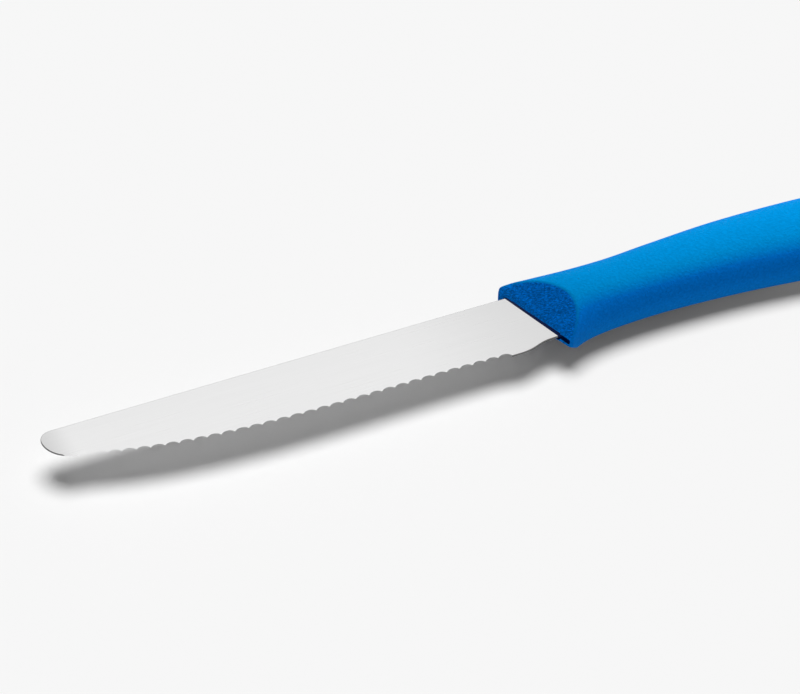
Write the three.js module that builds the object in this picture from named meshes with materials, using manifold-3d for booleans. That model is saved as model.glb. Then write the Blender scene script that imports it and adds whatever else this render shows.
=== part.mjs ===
// Serrated table knife: a stainless blade cut from tapered strip, its hidden tang locked in a moulded handle.
// Millimetres, +Z up. The knife lies on its side with the tip towards -X, the butt towards +X and the cutting
// edge towards -Y. While it is modelled, x = 0 is the handle's lip at the spine, y = 0 the spine and z = 0
// the blade's middle plane. At the end the origin goes to the footprint's middle, on the supporting surface.

import * as THREE from 'three';
import { mergeVertices } from 'three/addons/utils/BufferGeometryUtils.js';
import Module from 'manifold-3d';

const wasm = await Module();
wasm.setup();

// Blade outline
const BLADE_LENGTH = 109.7; // from the handle's lip to the tip: a 110 mm blade by its shoulders
const HEEL_WIDTH = 18.55;
const MOUTH_WIDTH = 16.8;
const TIP_TOP_RADIUS = 2.8;
const TIP_BELLY_RADIUS = 6.6;
const TIP_BELLY_TURN = THREE.MathUtils.degToRad(66.5);
const EDGE_TIP_REACH = 30; // how far the tip's direction carries into the edge's sweep
const EDGE_HEEL_REACH = 32; // how far the heel's direction carries forward into it
const HEEL_SLOPE = THREE.MathUtils.degToRad(3.3); // the edge still drops a little at the heel
const HEEL_X = -6.5; // the serration ends here
const HEEL_FLAT = 2;
const HEEL_SWEEP = 9.5; // length of the S-curve from the heel up to the mouth

// Blade thickness: thinner from spine to edge, and thinner again from the heel to the tip
const SPINE_THICKNESS = 1.1;
const EDGE_TAPER = 0.034; // loss of thickness for each millimetre of width
const TIP_TAPER = 0.0045; // loss for each millimetre of length, ahead of TIP_TAPER_START
const TIP_TAPER_START = -8;

// Serration: scallops ground from the lower face only, so the upper face ends in sharp cusps
const SCALLOPS = 33;
const SCALLOP_DEPTH = 0.58;
const SCALLOP_STEPS = 5;
const SERRATION_STOCK = 0.2; // ground off the blank, down to the cusps
const GRIND_ANGLE = THREE.MathUtils.degToRad(22); // between the flutes and the blade's plane
const GRIND_OVERRUN = 1.2; // how far a flute's cutter stands clear of the blade's faces

// Tang, behind shoulders that sit in the handle's recess
const SHOULDER_DEPTH = 1;
const TANG_CENTRE_Y = -7.8;
const TANG_ROOT_WIDTH = 10;
const TANG_END_WIDTH = 7;
const TANG_END_X = 66;
const TANG_HOLES_X = [26, 48];
const TANG_HOLE_RADIUS = 2.4;

// Handle. Each section is a flat oval, squarer for a higher power; stations run from the mouth to the butt.
const HANDLE_LENGTH = 105;
const OVAL_SIDES = 52;
const OVAL_LEAN = 0.06; // how far the thickest line lies towards the edge, as a share of the half height
const STATIONS = [
  { x: -4, top: 1.72, bottom: -16.4, half: 5.85, power: 3.45 },
  { x: 11, top: 0.95, bottom: -16.25, half: 6.95, power: 2.14 },
  { x: 24, top: 0.77, bottom: -16.3, half: 6.35, power: 2.17 },
  { x: 36, top: 1.7, bottom: -16.5, half: 6.3, power: 2.2 },
  { x: 54, top: 2.65, bottom: -17.7, half: 6.7, power: 2.2 },
  { x: 74, top: 2.2, bottom: -20.2, half: 6.95, power: 2.2 },
  { x: 88, top: 0.85, bottom: -21.5, half: 6.95, power: 2.2 },
  { x: 105, top: -1.5, bottom: -21.8, half: 6.6, power: 2.2 },
];
const FLARE_X = 6.5; // the mouth's edge side, where the finger stop reaches EDGE_FLARE
const FLARE_START = 4.5; // the flare grows no more ahead of here
const EDGE_FLARE = 5.5;
const FLARE_DECAY = 6;
const FLARE_END = 14;
const WAIST_X = 30;
const BUTT_START = 82;
const BUTT_POWER = 2.4;
const RINGS = { flare: 14, waist: 6, grip: 12, butt: 10 };

// Handle's front: an upright land around the blade, bevelled back above and below it, with a lip at the spine
const MOUTH_SETBACK = 0.7; // of the land, behind the lip
const MOUTH_SLANT = 0.312; // set back for each millimetre towards the edge
const LAND_HALF = 1.6;
const BEVEL_RUN = 1.24; // length of the bevel for each millimetre of height
const LIP_Y = 0.3; // the lip's inner side
const LIP_HALF = 3.2;
const LIP_ROUND = 1;
const RECESS_DEPTH = 1.5;
const RECESS_SPINE_Y = 0.5;
const RECESS_EDGE_Y = -20.5;
const SLOT_HALF = 0.95;
const SOCKET_HALF = 0.8;
const CLEARANCE = 0.3;

// Tool bodies reach this far past the knife
const CLEAR = 12;
const STRIP_MARGIN = 0.2;

// Steps of a curve, and the distance below which two points are one
const ARC_STEPS = 16;
const OUTLINE_STEPS = 24;
const MERGE_DISTANCE = 1e-5;

const steel = new THREE.MeshStandardMaterial({ color: 0xd9dadb, roughness: 0.32, metalness: 1 });
const polypropylene = new THREE.MeshStandardMaterial({ color: 0x0277bd, roughness: 0.5, metalness: 0 });

const X_AXIS = new THREE.Vector3(1, 0, 0);
const Y_AXIS = new THREE.Vector3(0, 1, 0);
const Z_AXIS = new THREE.Vector3(0, 0, 1);

// Closed geometry to solid and back
function toSolid(geometry) {
  const bare = geometry.clone();
  bare.deleteAttribute('normal');
  bare.deleteAttribute('uv');
  const merged = mergeVertices(bare, MERGE_DISTANCE);
  const vertProperties = new Float32Array(merged.attributes.position.array);
  const triVerts = new Uint32Array(merged.index.array);
  return new wasm.Manifold(new wasm.Mesh({ numProp: 3, vertProperties, triVerts }));
}

function toMesh(name, solid, material) {
  const { vertProperties, triVerts } = solid.getMesh();
  const geometry = new THREE.BufferGeometry();
  geometry.setAttribute('position', new THREE.BufferAttribute(vertProperties, 3));
  geometry.setIndex(new THREE.BufferAttribute(triVerts, 1));
  geometry.computeVertexNormals();
  const mesh = new THREE.Mesh(geometry, material);
  mesh.name = name;
  return mesh;
}

// A shape drawn on the (right, up) plane and extruded both ways from it
function plate(shape, halfDepth, right = X_AXIS, up = Y_AXIS, curveSegments = ARC_STEPS) {
  const depth = 2 * halfDepth;
  const geometry = new THREE.ExtrudeGeometry(shape, { depth, bevelEnabled: false, curveSegments });
  geometry.translate(0, 0, -halfDepth);
  const away = new THREE.Vector3().crossVectors(right, up);
  return geometry.applyMatrix4(new THREE.Matrix4().makeBasis(right, up, away));
}

// The mouth's slant: everything at the front is set back towards the edge
function slanted(geometry) {
  return geometry.applyMatrix4(new THREE.Matrix4().makeShear(0, 0, -MOUTH_SLANT, 0, 0, 0));
}

function mouthX(y) {
  return MOUTH_SETBACK - MOUTH_SLANT * y;
}

// Blade

function thicknessAt(x, y) {
  return SPINE_THICKNESS + EDGE_TAPER * y + TIP_TAPER * Math.min(x - TIP_TAPER_START, 0);
}

function edgeCurve() {
  const arcEnd = Math.PI + TIP_BELLY_TURN;
  const start = new THREE.Vector2(
    -BLADE_LENGTH + TIP_BELLY_RADIUS * (1 + Math.cos(arcEnd)),
    -TIP_TOP_RADIUS + TIP_BELLY_RADIUS * Math.sin(arcEnd),
  );
  const heading = new THREE.Vector2(Math.sin(TIP_BELLY_TURN), -Math.cos(TIP_BELLY_TURN));
  const heel = new THREE.Vector2(HEEL_X, -HEEL_WIDTH);
  const tipControl = start.clone().addScaledVector(heading, EDGE_TIP_REACH);
  const heelHeading = new THREE.Vector2(-Math.cos(HEEL_SLOPE), Math.sin(HEEL_SLOPE));
  const heelControl = heel.clone().addScaledVector(heelHeading, EDGE_HEEL_REACH);
  return new THREE.CubicBezierCurve(start, tipControl, heelControl, heel);
}

// The tang from its edge side, round its end and back, grown all round for the socket
function addTang(shape, rootX, grow) {
  const rootHalf = TANG_ROOT_WIDTH / 2 + grow;
  const endHalf = TANG_END_WIDTH / 2 + grow;
  const endX = TANG_END_X - TANG_END_WIDTH / 2;
  shape.lineTo(rootX(TANG_CENTRE_Y - rootHalf), TANG_CENTRE_Y - rootHalf);
  shape.lineTo(endX, TANG_CENTRE_Y - endHalf);
  shape.absarc(endX, TANG_CENTRE_Y, endHalf, -Math.PI / 2, Math.PI / 2, false);
  shape.lineTo(rootX(TANG_CENTRE_Y + rootHalf), TANG_CENTRE_Y + rootHalf);
  for (const x of TANG_HOLES_X) {
    const hole = new THREE.Path();
    hole.absarc(x, TANG_CENTRE_Y, TANG_HOLE_RADIUS - grow, 0, 2 * Math.PI, true);
    shape.holes.push(hole);
  }
}

function blankShape() {
  const shoulderX = (y) => mouthX(y) + SHOULDER_DEPTH;
  const sweepStart = HEEL_X + HEEL_FLAT;
  const sweepEnd = sweepStart + HEEL_SWEEP;
  const edge = edgeCurve();
  const topX = -BLADE_LENGTH + TIP_TOP_RADIUS;
  const bellyX = -BLADE_LENGTH + TIP_BELLY_RADIUS;
  const shape = new THREE.Shape();
  shape.moveTo(shoulderX(0), 0);
  shape.lineTo(topX, 0);
  shape.absarc(topX, -TIP_TOP_RADIUS, TIP_TOP_RADIUS, Math.PI / 2, Math.PI, false);
  shape.absarc(bellyX, -TIP_TOP_RADIUS, TIP_BELLY_RADIUS, Math.PI, Math.PI + TIP_BELLY_TURN, false);
  shape.bezierCurveTo(edge.v1.x, edge.v1.y, edge.v2.x, edge.v2.y, edge.v3.x, edge.v3.y);
  shape.lineTo(sweepStart, -HEEL_WIDTH);
  shape.bezierCurveTo(
    sweepStart + HEEL_SWEEP / 2, -HEEL_WIDTH, sweepEnd - HEEL_SWEEP / 2, -MOUTH_WIDTH, sweepEnd, -MOUTH_WIDTH,
  );
  shape.lineTo(shoulderX(-MOUTH_WIDTH), -MOUTH_WIDTH);
  addTang(shape, shoulderX, 0);
  shape.lineTo(shoulderX(0), 0);
  return shape;
}

// Strip that is thinner towards the edge, and ahead of the heel also towards the tip: each face is two planes
function taperedStrip() {
  const xs = [-BLADE_LENGTH - STRIP_MARGIN, TIP_TAPER_START, TANG_END_X + STRIP_MARGIN];
  const geometry = new THREE.BoxGeometry(2, 2, 2, 2, 1, 1);
  const position = geometry.attributes.position;
  for (let i = 0; i < position.count; i += 1) {
    const x = xs[Math.round(position.getX(i)) + 1];
    const y = position.getY(i) > 0 ? STRIP_MARGIN : -HEEL_WIDTH - STRIP_MARGIN;
    position.setXYZ(i, x, y, position.getZ(i) * thicknessAt(x, y) / 2);
  }
  return geometry;
}

// One scallop's cutter, from cusp to cusp: an arc in the upper face that runs inwards as it goes down
function scallopCutter(from, to) {
  const chord = to.clone().sub(from);
  const halfChord = chord.length() / 2;
  const radius = (halfChord ** 2 + SCALLOP_DEPTH ** 2) / (2 * SCALLOP_DEPTH);
  const centre = radius - SCALLOP_DEPTH;
  const rise = 2 * SERRATION_STOCK;
  const runIn = 1 / Math.tan(GRIND_ANGLE);
  const outerReach = GRIND_OVERRUN * (1 + runIn);
  const endAngle = Math.asin((rise - centre) / radius);
  const shape = new THREE.Shape();
  shape.absarc(0, centre, radius, Math.PI - endAngle, 2 * Math.PI + endAngle, false);
  shape.lineTo(radius * Math.cos(endAngle), outerReach);
  shape.lineTo(-radius * Math.cos(endAngle), outerReach);
  const along = new THREE.Vector3(chord.x, chord.y, 0).normalize();
  const outward = new THREE.Vector3(along.y, -along.x, 0);
  const geometry = new THREE.ExtrudeGeometry(shape, {
    depth: 2 * GRIND_OVERRUN, bevelEnabled: false, curveSegments: SCALLOP_STEPS,
  });
  geometry.translate(0, 0, -GRIND_OVERRUN);
  geometry.applyMatrix4(new THREE.Matrix4().makeShear(0, 0, 0, 0, 0, -runIn));
  const middle = from.clone().add(to).multiplyScalar(0.5);
  const place = new THREE.Matrix4().makeBasis(along, outward, Z_AXIS.clone().negate());
  place.setPosition(middle.x, middle.y, thicknessAt(middle.x, middle.y) / 2);
  return geometry.applyMatrix4(place);
}

function makeBlade() {
  const blank = plate(blankShape(), SPINE_THICKNESS, X_AXIS, Y_AXIS, OUTLINE_STEPS);
  let blade = toSolid(blank).intersect(toSolid(taperedStrip()));
  const cusps = edgeCurve().getSpacedPoints(SCALLOPS);
  for (const cusp of cusps) {
    cusp.y += SERRATION_STOCK;
  }
  for (let i = 0; i < SCALLOPS; i += 1) {
    blade = blade.subtract(toSolid(scallopCutter(cusps[i], cusps[i + 1])));
  }
  return toMesh('blade', blade, steel);
}

// Handle

// Smooth curve through one measure of the stations
function through(measure, x) {
  const last = STATIONS.length - 1;
  let i = 0;
  while (i < last - 1 && x > STATIONS[i + 1].x) {
    i += 1;
  }
  const slope = (k) => {
    const before = STATIONS[Math.max(k - 1, 0)];
    const after = STATIONS[Math.min(k + 1, last)];
    return (after[measure] - before[measure]) / (after.x - before.x);
  };
  const a = STATIONS[i];
  const b = STATIONS[i + 1];
  const span = b.x - a.x;
  const t = (x - a.x) / span;
  const blend = t * t * (3 - 2 * t);
  const leave = t * (1 - t) ** 2 * span * slope(i);
  const arrive = t * t * (1 - t) * span * slope(i + 1);
  return a[measure] * (1 - blend) + b[measure] * blend + leave - arrive;
}

function oval(x) {
  const flare = Math.exp((FLARE_X - Math.max(x, FLARE_START)) / FLARE_DECAY);
  const top = through('top', x);
  const bottom = through('bottom', x) - EDGE_FLARE * flare;
  const intoButt = Math.max(x - BUTT_START, 0) / (HANDLE_LENGTH - BUTT_START);
  const shrink = (1 - intoButt ** BUTT_POWER) ** (1 / BUTT_POWER);
  return {
    x,
    middle: (top + bottom) / 2,
    halfHeight: (top - bottom) / 2 * shrink,
    halfThickness: through('half', x) * shrink,
    power: through('power', x),
  };
}

function ovalPoint({ x, middle, halfHeight, halfThickness, power }, angle) {
  const bulge = (value) => Math.sign(value) * Math.abs(value) ** (2 / power);
  const lean = OVAL_LEAN * Math.sin(angle) ** 2;
  return [x, middle + halfHeight * (bulge(Math.cos(angle)) - lean), halfThickness * bulge(Math.sin(angle))];
}

// Closed skin over the ovals: a flat start, which the front cuts away, and a pole at the butt
function handleBody() {
  const evenly = (from, to, count) => Array.from({ length: count }, (_, i) => from + (to - from) * i / count);
  const buttSteps = evenly(0, Math.PI / 2, RINGS.butt).map(Math.sin);
  const rings = [
    ...evenly(STATIONS[0].x, FLARE_END, RINGS.flare),
    ...evenly(FLARE_END, WAIST_X, RINGS.waist),
    ...evenly(WAIST_X, BUTT_START, RINGS.grip),
    ...buttSteps.map((step) => BUTT_START + (HANDLE_LENGTH - BUTT_START) * step),
  ].map(oval);
  const first = rings[0];
  const end = oval(HANDLE_LENGTH);
  const positions = [[first.x, first.middle, 0], [end.x, end.middle, 0]];
  const at = (ring, side) => 2 + ring * OVAL_SIDES + side % OVAL_SIDES;
  for (const ring of rings) {
    for (let side = 0; side < OVAL_SIDES; side += 1) {
      positions.push(ovalPoint(ring, side / OVAL_SIDES * 2 * Math.PI));
    }
  }
  const triangles = [];
  for (let side = 0; side < OVAL_SIDES; side += 1) {
    triangles.push(0, at(0, side + 1), at(0, side));
    for (let ring = 0; ring < rings.length - 1; ring += 1) {
      triangles.push(at(ring, side), at(ring, side + 1), at(ring + 1, side + 1));
      triangles.push(at(ring, side), at(ring + 1, side + 1), at(ring + 1, side));
    }
    triangles.push(at(rings.length - 1, side), at(rings.length - 1, side + 1), 1);
  }
  const geometry = new THREE.BufferGeometry();
  geometry.setAttribute('position', new THREE.Float32BufferAttribute(positions.flat(), 3));
  geometry.setIndex(triangles);
  return geometry;
}

// All that lies behind the front's land and its two bevels
function behindFront() {
  const height = CLEAR;
  const bevelEnd = MOUTH_SETBACK + BEVEL_RUN * (height - LAND_HALF);
  const farX = HANDLE_LENGTH + CLEAR;
  const shape = new THREE.Shape();
  shape.moveTo(MOUTH_SETBACK, -LAND_HALF);
  shape.lineTo(bevelEnd, -height);
  shape.lineTo(farX, -height);
  shape.lineTo(farX, height);
  shape.lineTo(bevelEnd, height);
  shape.lineTo(MOUTH_SETBACK, LAND_HALF);
  return slanted(plate(shape, HEEL_WIDTH + CLEAR, X_AXIS, Z_AXIS));
}

// The upright lip, which closes the bevels' spine end
function spineLip() {
  const back = MOUTH_SETBACK + BEVEL_RUN * LIP_HALF;
  const cornerZ = LIP_HALF - LIP_ROUND;
  const halfDepth = CLEAR / 2;
  const shape = new THREE.Shape();
  shape.moveTo(back, -LIP_HALF);
  shape.lineTo(back, LIP_HALF);
  shape.absarc(LIP_ROUND, cornerZ, LIP_ROUND, Math.PI / 2, Math.PI, false);
  shape.absarc(LIP_ROUND, -cornerZ, LIP_ROUND, Math.PI, 3 * Math.PI / 2, false);
  return slanted(plate(shape, halfDepth, X_AXIS, Z_AXIS).translate(0, LIP_Y + halfDepth, 0));
}

// Round-ended recess in the front, wider than the blade, that takes the blade's shoulders
function recess() {
  const shape = new THREE.Shape();
  shape.absarc(RECESS_SPINE_Y - SLOT_HALF, 0, SLOT_HALF, -Math.PI / 2, Math.PI / 2, false);
  shape.absarc(RECESS_EDGE_Y + SLOT_HALF, 0, SLOT_HALF, Math.PI / 2, 3 * Math.PI / 2, false);
  return slanted(plate(shape, RECESS_DEPTH, Y_AXIS, Z_AXIS).translate(MOUTH_SETBACK, 0, 0));
}

// Room for the tang, with the two pillars of plastic that lock its holes
function socket() {
  const shape = new THREE.Shape();
  shape.moveTo(mouthX(TANG_CENTRE_Y), TANG_CENTRE_Y);
  addTang(shape, mouthX, CLEARANCE);
  return plate(shape, SOCKET_HALF);
}

function makeHandle() {
  const handle = toSolid(handleBody())
    .intersect(toSolid(behindFront()).add(toSolid(spineLip())))
    .subtract(toSolid(recess()))
    .subtract(toSolid(socket()));
  return toMesh('handle', handle, polypropylene);
}

const knife = new THREE.Group();
knife.add(makeBlade(), makeHandle());
const box = new THREE.Box3().setFromObject(knife);
const centre = box.getCenter(new THREE.Vector3());
knife.position.set(-centre.x, -centre.y, -box.min.z);

export default knife;
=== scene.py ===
import math

import bmesh
import bpy
from bpy.props import FloatProperty, FloatVectorProperty, IntProperty, PointerProperty
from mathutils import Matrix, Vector


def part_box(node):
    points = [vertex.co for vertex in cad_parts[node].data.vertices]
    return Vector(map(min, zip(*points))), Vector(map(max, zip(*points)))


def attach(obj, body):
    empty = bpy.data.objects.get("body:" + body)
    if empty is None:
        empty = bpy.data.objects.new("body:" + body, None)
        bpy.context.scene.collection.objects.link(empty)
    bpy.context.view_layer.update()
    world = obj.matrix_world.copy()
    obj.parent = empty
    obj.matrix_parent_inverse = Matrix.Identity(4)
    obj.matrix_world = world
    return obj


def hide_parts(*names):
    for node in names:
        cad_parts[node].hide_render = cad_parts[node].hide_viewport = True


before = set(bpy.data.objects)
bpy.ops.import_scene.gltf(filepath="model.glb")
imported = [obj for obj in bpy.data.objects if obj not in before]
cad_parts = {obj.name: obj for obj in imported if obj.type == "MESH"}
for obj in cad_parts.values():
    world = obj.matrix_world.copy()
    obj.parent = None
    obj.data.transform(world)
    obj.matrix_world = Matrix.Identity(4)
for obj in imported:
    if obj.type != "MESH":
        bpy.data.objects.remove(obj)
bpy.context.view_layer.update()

bl_info = {
    "name": "Serrated table knife",
    "version": (1, 0, 0),
    "blender": (4, 5, 0),
    "location": "View3D > Sidebar > Knife",
    "description": "Models a table knife with a serrated blade and a moulded handle, and sets its stage",
    "category": "Object",
}

# Lengths in the code are millimetres until they reach Blender. While a piece is modelled, x = 0 is the
# handle's lip at the spine, y = 0 the spine and z = 0 the blade's middle plane. ORIGIN then takes it to
# the CAD's place.
MM = 0.001
BLADE_LENGTH = 109.7
BLADE_LOW, BLADE_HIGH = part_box("blade")
ORIGIN = Vector((BLADE_LOW.x + BLADE_LENGTH * MM, BLADE_HIGH.y, (BLADE_LOW.z + BLADE_HIGH.z) / 2))
BLADE_NAME = "blade_ground"
HANDLE_NAME = "handle_moulded"
SMOOTH_ANGLE = math.radians(25)
FLAT_ANGLE = math.radians(0.3)  # an outline's points that turn less than this are dissolved
NEAR = 0.001 * MM  # points closer than this are one, and cuts snap to them
MERGE = 0.002 * MM  # the same, when a piece is finished
SAME = 0.01  # two places are the same within this many millimetres

# Blade outline
HEEL_WIDTH = 18.55
MOUTH_WIDTH = 16.8
TIP_TOP_RADIUS = 2.8
TIP_BELLY_RADIUS = 6.6
TIP_BELLY_TURN = math.radians(66.5)
EDGE_TIP_REACH = 30  # how far the tip's direction carries into the edge's sweep
EDGE_HEEL_REACH = 32  # how far the heel's direction carries forward into it
HEEL_SLOPE = math.radians(3.3)  # the edge still drops a little at the heel
HEEL_X = -6.5  # the serration ends here
HEEL_FLAT = 2
HEEL_SWEEP = 9.5  # length of the S-curve from the heel up to the mouth
SPINE_DROP = 0.5  # how far the spine falls from the nose to the handle
OUTLINE_STEPS = 24

# Tang
SHOULDER_DEPTH = 1  # how far the shoulders reach into the handle
TANG_CENTRE_Y = -7.8
TANG_ROOT_WIDTH = 10
TANG_END_WIDTH = 7
TANG_END_X = 66
TANG_HOLES_X = (26, 48)
TANG_HOLE_RADIUS = 2.4

# Blade thickness and stamped edges
EDGE_TAPER = 0.034  # loss of thickness for each millimetre of width
TIP_TAPER = 0.0045  # loss for each millimetre of length, ahead of TIP_TAPER_START
TIP_TAPER_START = -8
STRIP_MARGIN = 0.2
STAMPED_CORNER = math.radians(60)  # the faces at a stamped corner turn at least this much
BREAK_SEGMENTS = 2

# Serration
SERRATION_STOCK = 0.2  # ground off the blank, down to the cusps
SERRATION_START = 2  # length of edge that is left plain behind the nose
EDGE_SAMPLES = 40  # points measured along the edge for each scallop
GRIND_ANGLE = math.radians(22)  # between the flutes and the blade's plane
CUTTER_HALF = 1.2  # half depth of the blank and of a flute's cutter
CUTTER_SIDES = 96

# Finish of the steel
STREAK = (25, 1 / 2.8, 2.5)  # a grinding line, drawn several times as wide as a real one so that it shows
STREAK_DEPTH = 0.01
STREAK_RANGE = (0.3, 0.7)  # of the noise, from one end of the finish to the other
SATIN_ROUGHNESS = (0.27, 0.37)
SATIN_LEVEL = (0.985, 1.015)
ROLLED_SKIN = 2 / 3  # patches of steel that was not ground, drawn coarser than real ones so that they show
HANDLE_SHADE_START = 32  # the ground face starts to darken with painted reflection of the dark handle this far ahead of the handle's lip
HANDLE_SHADE_END = 10  # and would be darkest this far behind it
HANDLE_SHADE_LEVEL = 0.85
NOSE_SHADE_LENGTH = 7  # length of the nose that is darkened with painted shade
NOSE_SHADE_LEVEL = 0.8
BRIGHT_EDGE = (3, 9)  # from the tip, the stretch of edge behind the nose whose faces stay bright, without the painted dark reflection
ROOT_X = 0.4  # the grinding stops, and the root's painted recess shade starts, on a line beside the handle
ROOT_SLANT = 0.313
SHEARED_FACING = (-0.3, 0.93)  # how far up the faces of a stamped edge look

# Handle sections: x, top, bottom, half thickness, squareness
STATIONS = (
    (-4, 1.72, -16.4, 5.85, 3.45),
    (11, 0.95, -16.25, 6.95, 2.14),
    (24, 0.77, -16.3, 6.35, 2.17),
    (36, 1.7, -16.5, 6.3, 2.2),
    (54, 2.65, -17.7, 6.7, 2.2),
    (74, 2.2, -20.2, 6.95, 2.2),
    (88, 0.85, -21.47, 6.95, 2.2),
    (105, -1.5, -21.8, 6.6, 2.2),
)
HANDLE_LENGTH = 105
OVAL_LEAN = 0.06  # how far the thickest line lies towards the edge, as a share of the half height
FLARE_X = 6.5  # the mouth's edge side, where the finger stop reaches EDGE_FLARE
FLARE_START = 4.5  # the flare grows no more ahead of here
EDGE_FLARE = 5.05
FLARE_DECAY = 6.25
FLARE_END = 15
WAIST_X = 31
BUTT_START = 82
BUTT_POWER = 2.4
RINGS = {"flare": 19, "waist": 10, "grip": 20, "butt": 16}
CORNER_STEPS = 26

# Front of the handle
MOUTH_SETBACK = 0.7  # of the land, behind the lip
MOUTH_SLANT = 0.312  # set back for each millimetre towards the edge
LAND_HALF = 1.6
LAND_LEAN = 0.25
BEVEL_RUN = 1.24  # length of a bevel for each millimetre of height
BEVEL_DEPTH = BEVEL_RUN * LAND_HALF
BEVEL_SKEW = 0.08
FRONT_MIDDLE = -HEEL_WIDTH / 2
LIP_Y = -1  # the lip's inner side
LIP_HALF = 3.7
LIP_ROUND = 1.1
LIP_DRAFT = 1.1  # how far the lip's inner side leans for each millimetre of its depth
ROLL_Y = -14  # the rim rolls in towards this height, so it rolls furthest at the spine
ROLL_STEPS = 5
ROLL_BAND = 0.006  # the last, narrow row of the roll, as a share of the front
RIM_MERGE = 0.04 * MM  # points of the trimmed rim closer than this are one

# Recess round the blade, the groove that carries on from it, and the tang's socket
RECESS = {
    "spine": 0.1, "edge": -17.4, "floor": -0.75, "roof": 0.95, "depth": 1.5, "slope": 0, "pinch": 0.25}
GROOVE = {
    "spine": -16.4, "edge": -20.05, "floor": -0.1, "roof": 0.8, "depth": 0.55, "slope": 0.2, "pinch": 0}
CORNER_SHARE = 0.48  # of the height of a recess, taken by each rounded corner
CORNER_SEGMENTS = 8
HOLLOW_HALF = 1  # both lie within this height of the blade's middle plane
HOLLOW_MARGIN = 0.1
SOCKET_HALF = 0.8
CLEARANCE = 0.3

# Finish of the plastic. A fleck of grain is drawn a few times as coarse as a real one, so that it shows.
GRIP_GRAIN = (0.75, 0.5, 0.5)
GRIP_CONTRAST = 0.08
GRIP_RELIEF = 0.2
FRONT_GRAIN = (0.6, 0.23, 0.23)
FRONT_CONTRAST = 0.48
FRONT_RELIEF = 0.05
GRAIN_TURN = (0, math.radians(-19), math.radians(-48.6))  # the flecks lie along the upper bevel
GRAIN_RANGE = (0.38, 0.68)  # of the noise, from a dark fleck to a pale one
GRAIN_LEVELS = (0.8, 1.2)  # how much darker and paler the flecks are, as shares of the contrast
UNDER_FACING = (-0.3, 0.4)  # rise of the normal, from the darkest painted shade underneath to the sides' colour
TOP_FACING = (0.74, 0.96)  # rise of the normal, from the sides' painted shade to the top's lit colour
FRONT_FACING = -0.1  # the front's faces look towards the edge at least this much
FRONT_SKIN = 0.02  # and lie no deeper than this
UPRIGHT_FACING = 0.45  # the normal of an upright face rises less than this


def linear(code):
    """Linear colour of an sRGB hex value"""
    channels = [int(code[i:i + 2], 16) / 255 for i in (0, 2, 4)]
    bent = [c / 12.92 if c <= 0.04045 else ((c + 0.055) / 1.055) ** 2.4 for c in channels]
    return (*bent, 1)


def colour_property(name, description, code):
    """A colour that a user can change, from an sRGB hex value"""
    return FloatVectorProperty(
        name=name, description=description, default=linear(code), size=4, min=0, max=1, subtype="COLOR")


class BladeSettings(bpy.types.PropertyGroup):
    """Sizes and finish of the blade"""

    thickness: FloatProperty(
        name="Spine thickness", description="Thickness of the strip at the spine",
        default=1.1 * MM, unit="LENGTH")
    scallops: IntProperty(
        name="Scallops", description="Number of scallops along the cutting edge", default=32)
    scallop_depth: FloatProperty(
        name="Scallop depth", description="Depth of a scallop below its cusps",
        default=0.85 * MM, unit="LENGTH")
    edge_break: FloatProperty(
        name="Edge break", description="Rounding of the stamped edges", default=0.1 * MM, unit="LENGTH")
    steel: colour_property("Steel", "Colour of the ground faces", "f2f2f2")


class HandleSettings(bpy.types.PropertyGroup):
    """Sizes and colours of the handle"""

    rim_round: FloatProperty(
        name="Rim rounding", description="Rounding of the front's rim", default=0.5 * MM, unit="LENGTH")
    # top, sides and under are lit and shaded copies of one blue: painted shade deepens the colour away from
    # the top
    top: colour_property("Top", "Colour of the smooth moulding where it faces up", "0092dd")
    sides: colour_property("Sides", "Colour of the smooth moulding where it turns to the side", "007be2")
    under: colour_property("Under", "Colour of the smooth moulding where it faces down", "0072c9")
    front: colour_property("Front", "Colour of the coarse front", "0078e2")
    # the lip's paler blue is painted light on its upright faces
    lip: colour_property("Lip", "Colour of the coarse front where it turns upright", "007fea")
    recess: colour_property("Recess", "Colour of the moulding where little light gets in", "001c52")


class StageSettings(bpy.types.PropertyGroup):
    """Light around the knife"""

    key: FloatProperty(
        name="Key light", description="Power of the lamp over the handle", default=0.4, unit="POWER")
    key_size: FloatProperty(
        name="Key size", description="Width of the lamp over the handle", default=160 * MM, unit="LENGTH")
    floor_light: FloatProperty(
        name="Floor light", description="Strength of the even light on the floor", default=2.8)
    floor_spread: FloatProperty(
        name="Floor spread", description="Angle across the even light",
        default=math.radians(40), unit="ROTATION")
    floor_lean: FloatProperty(
        name="Floor lean", description="How far behind the knife the even light hangs",
        default=math.radians(7.5), unit="ROTATION")
    floor_side: FloatProperty(
        name="Floor side", description="How far over the handle the even light hangs",
        default=math.radians(4), unit="ROTATION")
    floor_tilt: FloatProperty(
        name="Floor tilt", description="How much the floor falls away from the handle to the tip",
        default=math.radians(0.65), unit="ROTATION")
    fill: FloatProperty(
        name="Fill light", description="Strength of the light from all round", default=0.165)


def add_node(tree, kind, inputs, **settings):
    """Adds a node, with its settings, and with its inputs set or linked"""
    made = tree.nodes.new(kind)
    for name, value in settings.items():
        setattr(made, name, value)
    for name, value in inputs.items():
        if isinstance(value, bpy.types.NodeSocket):
            tree.links.new(value, made.inputs[name])
        else:
            made.inputs[name].default_value = value
    return made


def remap(tree, value, source, target=(0, 1), blend="LINEAR"):
    """Takes a value from one range to another"""
    made = add_node(tree, "ShaderNodeMapRange", {
        "Value": value, "From Min": source[0], "From Max": source[1],
        "To Min": target[0], "To Max": target[1]}, interpolation_type=blend)
    return made.outputs["Result"]


def new_material(name):
    """An empty node material and its tree"""
    material = bpy.data.materials.new(name)
    material.use_nodes = True
    material.node_tree.nodes.clear()
    return material, material.node_tree


# Modelling by hand

def mm(*values):
    """Millimetres to Blender's metres"""
    return tuple(value * MM for value in values)


def same(a, b):
    """Whether two places in millimetres are the same"""
    return abs(a - b) < SAME


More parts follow.
